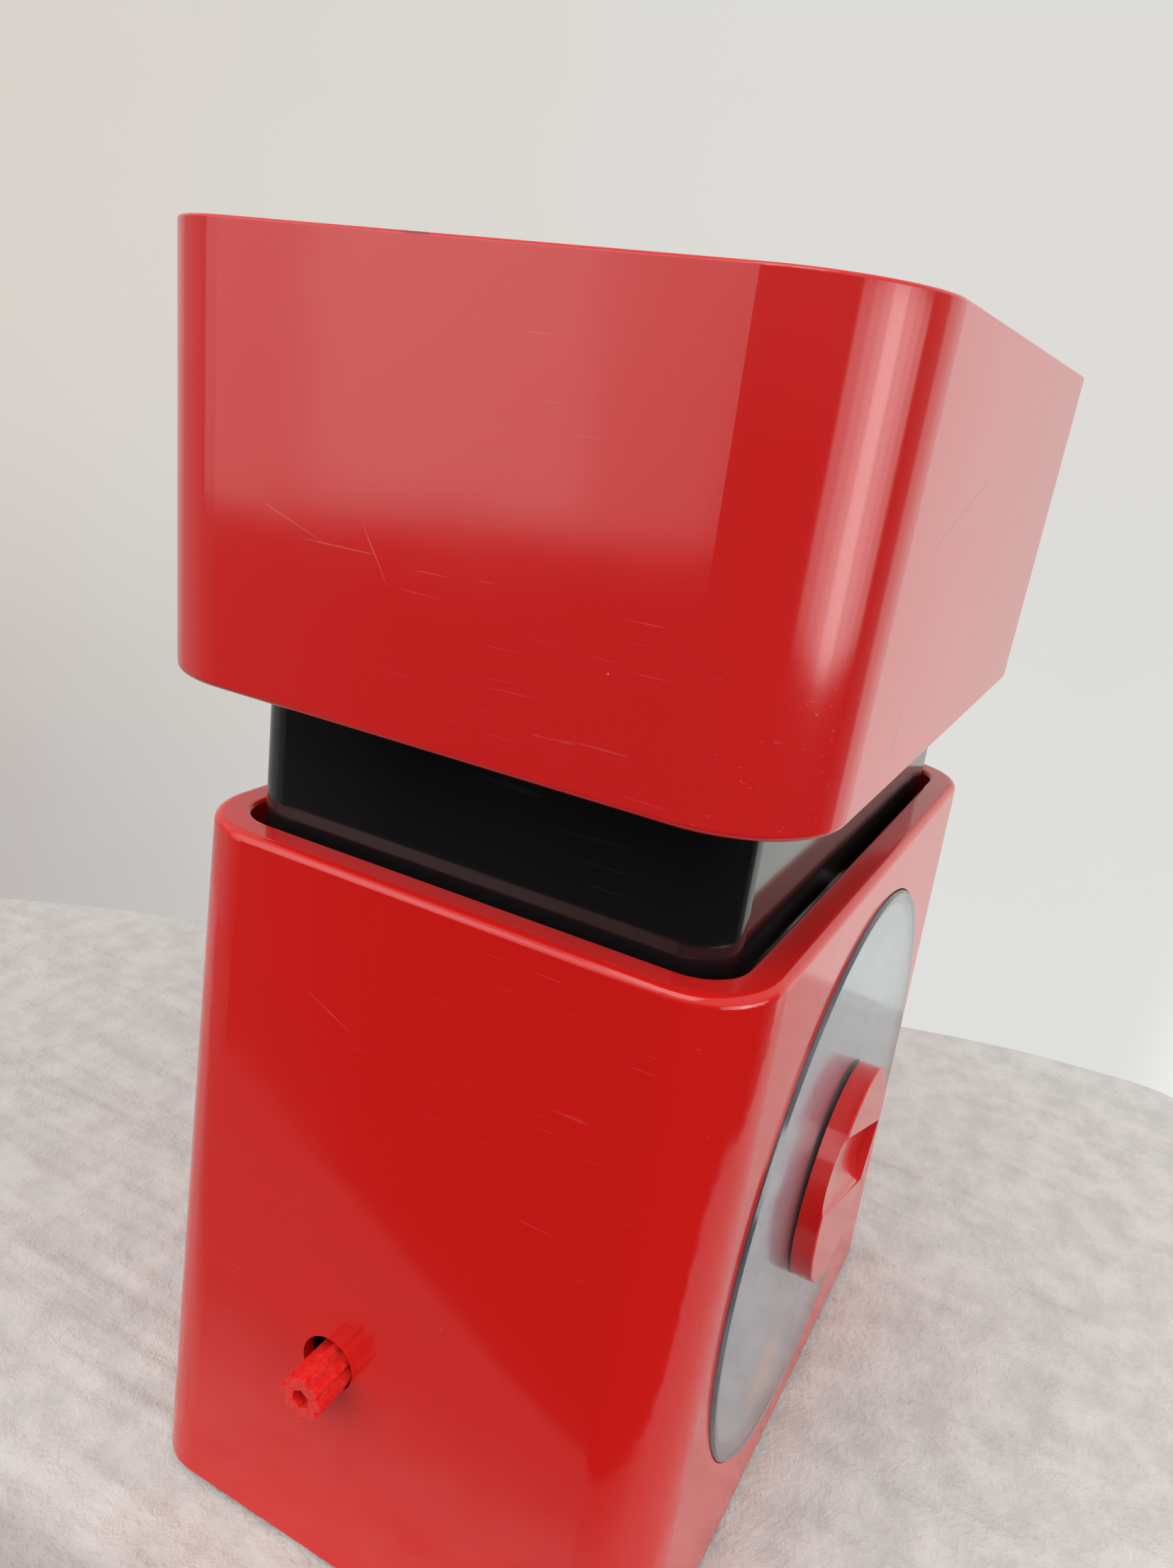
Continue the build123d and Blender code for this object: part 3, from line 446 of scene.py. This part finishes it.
# ---- Dial print ---------------------------------------------------------------------------------
DISC_LOW, DISC_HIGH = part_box("dial_disc")
DIAL_X = (DISC_LOW.x + DISC_HIGH.x) / 2
DIAL_Z = (DISC_LOW.z + DISC_HIGH.z) / 2
DISC_R = (DISC_HIGH.x - DISC_LOW.x) / 2
PRINT_Y = DISC_LOW.y - 0.03 * MM       # print stands a hair in front of the card
FULL_LOAD_TURN = 327.4                 # degrees of the dial for the whole scale
FULL_LOAD = 3000                       # grams, as are the two steps
SMALL_STEP, MIDDLE_STEP, LARGE_STEP = 20, 100, 500
TICK_OUT = DISC_R - 2.6 * MM
TICKS = ((LARGE_STEP, 8.0 * MM, 0.70 * MM),     # grams from one to the next, length, width
         (MIDDLE_STEP, 6.0 * MM, 0.40 * MM),
         (SMALL_STEP, 3.0 * MM, 0.22 * MM))
RING_WIDTH = 0.3 * MM
LARGE_FIGURE, LARGE_FIGURE_IN = 7.5 * MM, 13.0 * MM      # size, and how far inside the ticks' outer ends
SMALL_FIGURE, SMALL_FIGURE_IN = 2.6 * MM, 8.6 * MM
SECTOR_START, SECTOR_END = FULL_LOAD_TURN + 5, 355       # the amber area between full load and zero
SECTOR_WIDTH = 14 * MM


def load_angle(grams):
    """Degrees round the dial from six o'clock, where zero is."""
    return FULL_LOAD_TURN * grams / FULL_LOAD


def dial_point(radius, angle):
    """Point on the card's face. The angle is in degrees from six o'clock, rising towards the right."""
    a = math.radians(angle)
    return Vector((DIAL_X + radius * math.sin(a), PRINT_Y, DIAL_Z - radius * math.cos(a)))


def print_on_dial(piece):
    """Link a printed piece and hang it on the dial, so that it turns with the dial."""
    scene.collection.objects.link(piece)
    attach(piece, "dial")


def flat_piece(name, rings, material):
    """Printed mesh of flat faces, each given by its corners in order."""
    mesh = bpy.data.meshes.new(name)
    build = bmesh.new()
    for ring in rings:
        build.faces.new([build.verts.new(point) for point in ring])
    build.normal_update()
    for face in build.faces:
        if face.normal.y > 0:
            face.normal_flip()
    build.to_mesh(mesh)
    build.free()
    mesh.materials.append(material)
    print_on_dial(bpy.data.objects.new(name, mesh))


def tick(angle, inner, outer, width):
    """Four corners of one radial tick."""
    half_in = math.degrees(width / 2 / inner)
    half_out = math.degrees(width / 2 / outer)
    return [dial_point(inner, angle - half_in), dial_point(outer, angle - half_out),
            dial_point(outer, angle + half_out), dial_point(inner, angle + half_in)]


def arc_band(inner, outer, start, end, pieces):
    """Quads of a ring segment."""
    rings = []
    for k in range(pieces):
        a = start + (end - start) * k / pieces
        b = start + (end - start) * (k + 1) / pieces
        rings.append([dial_point(inner, a), dial_point(outer, a), dial_point(outer, b), dial_point(inner, b)])
    return rings


def numeral(text, angle, radius, size, material):
    """Generic figure that stands upright when it is at six o'clock."""
    curve = bpy.data.curves.new("dial_figure_" + text.replace(".", "_"), "FONT")
    curve.body = text
    curve.size = size
    curve.align_x = "CENTER"
    curve.align_y = "CENTER"
    curve.extrude = 0.01 * MM
    curve.materials.append(material)
    figure = bpy.data.objects.new(curve.name, curve)
    upright = Euler((math.pi / 2, 0, 0)).to_matrix().to_4x4()
    turned = Matrix.Rotation(-math.radians(angle), 4, "Y")
    figure.matrix_world = Matrix.Translation(dial_point(radius, angle)) @ turned @ upright
    print_on_dial(figure)


def print_dial():
    """Ticks, a ring along their ends, an amber sector and the figures."""
    black = ink("dial_black_ink", (0.028, 0.028, 0.032))
    amber = ink("dial_amber_ink", (0.72, 0.38, 0.20))
    ticks = []
    for grams in range(0, FULL_LOAD + 1, SMALL_STEP):
        length, width = next((length, width) for step, length, width in TICKS if grams % step == 0)
        ticks.append(tick(load_angle(grams), TICK_OUT - length, TICK_OUT, width))
    flat_piece("dial_ticks", ticks, black)
    flat_piece("dial_ring", arc_band(TICK_OUT, TICK_OUT + RING_WIDTH, 0, FULL_LOAD_TURN, pieces=96), black)
    sector = arc_band(TICK_OUT - SECTOR_WIDTH, TICK_OUT, SECTOR_START, SECTOR_END, pieces=12)
    flat_piece("dial_blank_sector", sector, amber)
    for grams in range(0, FULL_LOAD, LARGE_STEP):
        kilograms = f"{grams / 1000:g}"
        numeral(kilograms, load_angle(grams), TICK_OUT - LARGE_FIGURE_IN, LARGE_FIGURE, black)
    for grams in range(MIDDLE_STEP, FULL_LOAD, MIDDLE_STEP):
        if grams % LARGE_STEP:
            numeral(f"{grams}", load_angle(grams), TICK_OUT - SMALL_FIGURE_IN, SMALL_FIGURE, black)


# ---- Table --------------------------------------------------------------------------------------
TABLE_EDGE = [(-0.228, 0.210), (-0.171, 0.063), (-0.138, -0.021), (-0.132, -0.080), (-0.106, -0.140),
              (-0.085, -0.205), (-0.035, -0.235), (0.050, -0.220), (0.150, -0.205), (0.225, -0.150),
              (0.232, -0.100), (0.210, -0.020), (0.150, 0.120), (0.068, 0.282), (0.000, 0.340),
              (-0.090, 0.330), (-0.195, 0.290)]       # X and Y of the cloth's edge, anticlockwise
EDGE_STEPS = 8                         # pieces between two points of the edge
TABLE_MIDDLE = Vector((0.02, 0.03))
TOP_ROWS = (0.15, 0.3, 0.45, 0.6, 0.75, 0.88)         # loops of the flat top, as shares of the edge
EDGE_ROUND = 12 * MM
ROUND_STEPS = 8
CLOTH_HANG = 0.20
CREASE_TURN = math.radians(28)


def smooth_loop(points, steps):
    """Closed Catmull-Rom curve through points of the floor."""
    out = []
    n = len(points)
    for i in range(n):
        p0, p1, p2, p3 = (Vector(points[(i + k - 1) % n]) for k in range(4))
        for s in range(steps):
            t = s / steps
            out.append(0.5 * (2 * p1 + (p2 - p0) * t + (2 * p0 - 5 * p1 + 4 * p2 - p3) * t ** 2
                              + (3 * p1 - p0 - 3 * p2 + p3) * t ** 3))
    return out


def pale_cloth():
    """Pale plush with creases, with painted shade: greyer towards +Y and dark along its edge towards -X."""
    g, place = new_material("pale_cloth")
    nap = g.noise(place, scale=700.0, detail=4.0, roughness=0.7)
    tuft = g.noise(place, scale=90.0, detail=4.0, roughness=0.6)
    folds = g.noise(place, scale=12.0, detail=3.0)
    colour = g.mix(g.step(tuft, 0.3, 0.7), (0.54, 0.525, 0.507), (0.66, 0.64, 0.617))
    parts = g.split(place)
    # painted shade: the cloth greys towards +Y, where less light falls on it
    colour = g.mix(g.step(parts["Y"], -0.04, 0.18, 0.0, 0.28), colour, (0.20, 0.17, 0.16))
    # painted shade: the cloth darkens towards -X along its edge, the shaded side
    colour = g.mix(g.step(parts["X"], -0.125, -0.095, 0.7, 0.0), colour, (0.08, 0.07, 0.065))
    lengthened = g.stretch(place, (30.0, 4.0, 1.0), (0, 0, CREASE_TURN))
    creases = g.noise(lengthened, scale=1.0, detail=3.0, roughness=0.6)
    normal = g.bump(folds, strength=0.5, distance=6.0 * MM)
    normal = g.bump(creases, strength=0.8, distance=10.0 * MM, normal=normal)
    normal = g.bump(tuft, strength=0.8, distance=1.8 * MM, normal=normal)
    normal = g.bump(nap, strength=0.8, distance=0.5 * MM, normal=normal)
    return g.finish(g.principled(Base_Color=colour, Roughness=0.95, IOR=1.3, Normal=normal,
                                 Sheen_Weight=0.25, Sheen_Roughness=0.6))


def make_floor():
    """Cloth-covered table top with a rounded edge that drops away."""
    edge = smooth_loop(TABLE_EDGE, EDGE_STEPS)
    rows = [[(TABLE_MIDDLE + share * (p - TABLE_MIDDLE), 0.0) for p in edge] for share in TOP_ROWS]
    for k in range(ROUND_STEPS + 1):
        a = k / ROUND_STEPS * math.pi / 2
        inward = EDGE_ROUND * (1 - math.sin(a))
        drop = EDGE_ROUND * (1 - math.cos(a))
        rows.append([(p - inward * (p - TABLE_MIDDLE).normalized(), -drop) for p in edge])
    rows.append([(p, -CLOTH_HANG) for p in edge])
    mesh = bpy.data.meshes.new("floor")
    build = bmesh.new()
    centre = build.verts.new((*TABLE_MIDDLE, 0))
    verts = [[build.verts.new((*p, z)) for p, z in row] for row in rows]
    n = len(edge)
    for i in range(n):
        j = (i + 1) % n
        build.faces.new((centre, verts[0][i], verts[0][j]))
        for a, b in zip(verts, verts[1:]):
            build.faces.new((a[i], b[i], b[j], a[j]))
    bmesh.ops.recalc_face_normals(build, faces=build.faces)
    build.to_mesh(mesh)
    build.free()
    for polygon in mesh.polygons:
        polygon.use_smooth = True
    mesh.materials.append(pale_cloth())
    floor = bpy.data.objects.new("floor", mesh)
    scene.collection.objects.link(floor)


# ---- Wall ---------------------------------------------------------------------------------------
WALL_DISTANCE = 0.95
WALL_OUT = direction(20, 0)            # the wall stands square to this
WALL_LEFTWARD = direction(110, 0)
WALL_LEFT, WALL_RIGHT = 2.0, -2.2      # along WALL_LEFTWARD
WALL_FOOT, WALL_TOP = -0.9, 1.4


def pale_wall():
    """Glowing wall whose colour is painted light: brighter towards the right and higher up, with a bright
    strip at the far right and a faint paint mottle.
    """
    g, place = new_material("pale_wall")
    across = g.vector_math("DOT_PRODUCT", {0: place, 1: tuple(WALL_LEFTWARD)}).outputs["Value"]
    up = g.step(g.split(place)["Z"], -0.45, 0.25)
    left = g.step(across, -0.15, 0.9)
    # painted shade: the wall is darker low on the left, lighter towards the right and higher up
    low = g.mix(left, (0.74, 0.745, 0.72), (0.50, 0.465, 0.45))
    high = g.mix(left, (0.72, 0.71, 0.68), (0.69, 0.645, 0.595))
    colour = g.mix(up, low, high)
    # painted light: a bright strip on the far right of the wall
    colour = g.mix(g.step(across, -0.50, -0.66), colour, (1.00, 1.00, 0.96))
    paint = g.noise(place, scale=6.0)
    colour = g.mix(g.step(paint, 0.3, 0.7, 0.0, 0.05), colour, (0.8, 0.8, 0.8))
    return g.finish(g.node("ShaderNodeEmission", {"Color": colour, "Strength": 1.0}).outputs[0])


def make_wall():
    """Plain pale wall behind the table."""
    mesh = bpy.data.meshes.new("wall")
    build = bmesh.new()
    corners = [(WALL_RIGHT, WALL_FOOT), (WALL_LEFT, WALL_FOOT), (WALL_LEFT, WALL_TOP), (WALL_RIGHT, WALL_TOP)]
    foot = WALL_DISTANCE * WALL_OUT
    build.faces.new([build.verts.new(foot + s * WALL_LEFTWARD + Vector((0, 0, z))) for s, z in corners])
    build.to_mesh(mesh)
    build.free()
    mesh.materials.append(pale_wall())
    wall = bpy.data.objects.new("wall", mesh)
    scene.collection.objects.link(wall)


# ---- Light --------------------------------------------------------------------------------------
AIM = Vector((0, 0, 0.12))             # the middle of the object, where the room's directions start
WINDOW_TINT = (1.0, 0.99, 0.97)
LEFT_WALL_TINT = (1.0, 0.985, 0.96)
WHITE = (1.0, 1.0, 1.0)
PANELS = {                             # heading, elevation, distance, width, height, radiance, tint
    "window": (261.5, -0.9, 1.50, 1.66, 0.490, 2.1, WINDOW_TINT),
    "window_middle": (262, -0.9, 1.47, 1.12, 0.480, 1.3, WINDOW_TINT),
    "window_inner": (262, -0.9, 1.45, 0.68, 0.475, 1.1, WINDOW_TINT),
    "window_core": (261, -0.9, 1.43, 0.30, 0.470, 2.7, WINDOW_TINT),
    "left_wall": (143, 18, 1.40, 1.02, 1.22, 0.95, LEFT_WALL_TINT),
    "left_wall_middle": (147, 17, 1.385, 0.80, 1.18, 0.5, LEFT_WALL_TINT),
    "left_wall_core": (148, 13, 1.37, 0.34, 0.86, 0.8, LEFT_WALL_TINT),
    "sky": (182, 52, 1.40, 1.00, 0.80, 3.1, WHITE)}
ROOM_BY_HEIGHT = ((0.47, (0.012, 0.012, 0.014)),      # from 0, straight down, to 1, straight up
                  (0.50, (0.13, 0.125, 0.12)),
                  (0.56, (0.22, 0.21, 0.205)),
                  (0.70, (0.95, 0.94, 0.92)))
ROOM_AHEAD = direction(40, 0)
ROOM_GREY = (0.46, 0.45, 0.44)


def make_panel(name, heading, elevation, distance, width, height, radiance, tint):
    """Soft box of a given brightness, seen from the object at a heading and an elevation."""
    data = bpy.data.lights.new(name, "AREA")
    data.shape = "RECTANGLE"
    data.size = width
    data.size_y = height
    data.color = tint
    data.energy = math.pi * width * height * radiance
    lamp = bpy.data.objects.new(name, data)
    towards = direction(heading, elevation)
    lamp.location = AIM + distance * towards
    lamp.rotation_euler = towards.to_track_quat("Z", "Y").to_euler()
    scene.collection.objects.link(lamp)


def make_room():
    """World that is dark below and pale above, lifted to grey on the wall's side and straight down."""
    g = Graph(bpy.data.worlds.new("room"))
    way = g.node("ShaderNodeTexCoord").outputs["Generated"]
    height = g.split(way)["Z"]
    ramp = g.node("ShaderNodeValToRGB", {"Fac": g.step(height, -1, 1, shape="LINEAR")})
    ramp.color_ramp.interpolation = "EASE"
    stops = ramp.color_ramp.elements
    for k, (position, colour) in enumerate(ROOM_BY_HEIGHT):
        stop = stops[k] if k < len(stops) else stops.new(position)
        stop.position = position
        stop.color = (*colour, 1)
    ahead = g.vector_math("DOT_PRODUCT", {0: way, 1: tuple(ROOM_AHEAD)}).outputs["Value"]
    far_side = g.step(ahead, -0.25, 0.35, shape="LINEAR")
    straight_down = g.step(height, -0.80, -0.92, shape="LINEAR")
    lit = g.math("MAXIMUM", far_side, straight_down)
    colour = g.mix(lit, ramp.outputs["Color"], ROOM_GREY, blend="LIGHTEN")
    sky = g.node("ShaderNodeBackground", {"Color": colour, "Strength": 1.0}).outputs[0]
    scene.world = g.finish(sky, output="ShaderNodeOutputWorld")


make_camera()
dress_plastics()
dress_metals()
print_dial()
make_floor()
make_wall()
make_room()
for panel, settings in PANELS.items():
    make_panel(panel, *settings)
